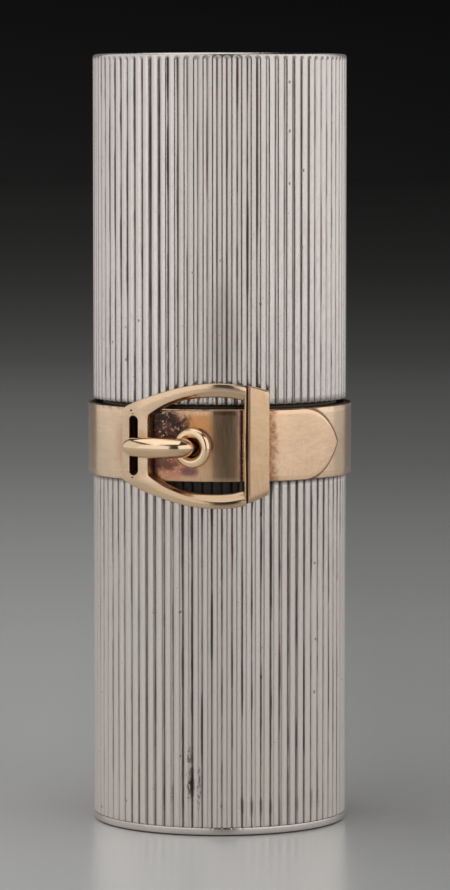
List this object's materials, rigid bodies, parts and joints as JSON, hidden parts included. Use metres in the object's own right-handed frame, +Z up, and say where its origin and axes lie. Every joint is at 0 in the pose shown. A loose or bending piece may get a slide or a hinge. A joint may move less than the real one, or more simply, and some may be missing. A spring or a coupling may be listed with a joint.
{
  "type": "lipstick case",
  "caption": "Reeded silver lipstick case with a pull-off cap, a gold belt band with a strap-and-buckle motif, and a twist-up bullet inside.",
  "frame": {"origin": "centre of the foot's flat underside, on the case's axis", "axes": "+Z up along the case's axis from the foot to the cap; the buckle's front faces -Y and the strap's pointed tip goes round towards +X"},
  "size_m": [0.0208, 0.0228, 0.0605],
  "materials": {
    "silver": "reeded sterling silver, softly polished on the ribs, with grey-brown patina left in the grooves",
    "gold": "pale yellow gold, satin polished, with brown and blue-grey heat stain round the soldered eyelet and strap",
    "gilt_liner": "thin gilt over brass, polished",
    "brass": "plain drawn brass",
    "nylon": "natural nylon",
    "lipstick": "smooth red wax, half gloss"
  },
  "bodies": {
    "base": {"base_shell": "silver", "base_bottom_disc": "silver", "base_liner": "gilt_liner", "belt_band": "gold", "belt_strap_end": "gold", "strap_eyelet": "gold", "buckle_frame": "gold", "buckle_keeper": "gold", "buckle_tongue": "gold", "mechanism_foot": "brass", "guide_tube": "brass", "friction_washer": "nylon"},
    "collar": {"neck_sleeve": "gilt_liner", "sleeve_retaining_ring": "brass", "spiral_tube": "brass"},
    "carrier": {"carrier_cup": "gilt_liner", "carrier_lug_right": "brass", "carrier_lug_left": "brass", "lipstick_bullet": "lipstick"},
    "cap": {"cap_shell": "silver", "cap_top_disc": "silver", "cap_liner": "gilt_liner", "cap_grip_ring": "brass"}
  },
  "joints": [
    {"name": "cap_lift", "type": "slide", "parent": "base", "child": "cap", "axis": [0, 0, 1], "range_m": [0, 0.03]},
    {"name": "collar_swivel", "type": "hinge", "parent": "base", "child": "collar", "pos_m": [0, 0, 0.00295], "axis": [0, 0, -1], "range_deg": [0, 540]},
    {"name": "carrier_rise", "type": "slide", "parent": "base", "child": "carrier", "axis": [0, 0, 1], "range_m": [0, 0.024]}
  ],
  "couplings": [
    {"joint": "carrier_rise", "follows": "collar_swivel", "m_per_rad": 0.0025465}
  ]
}
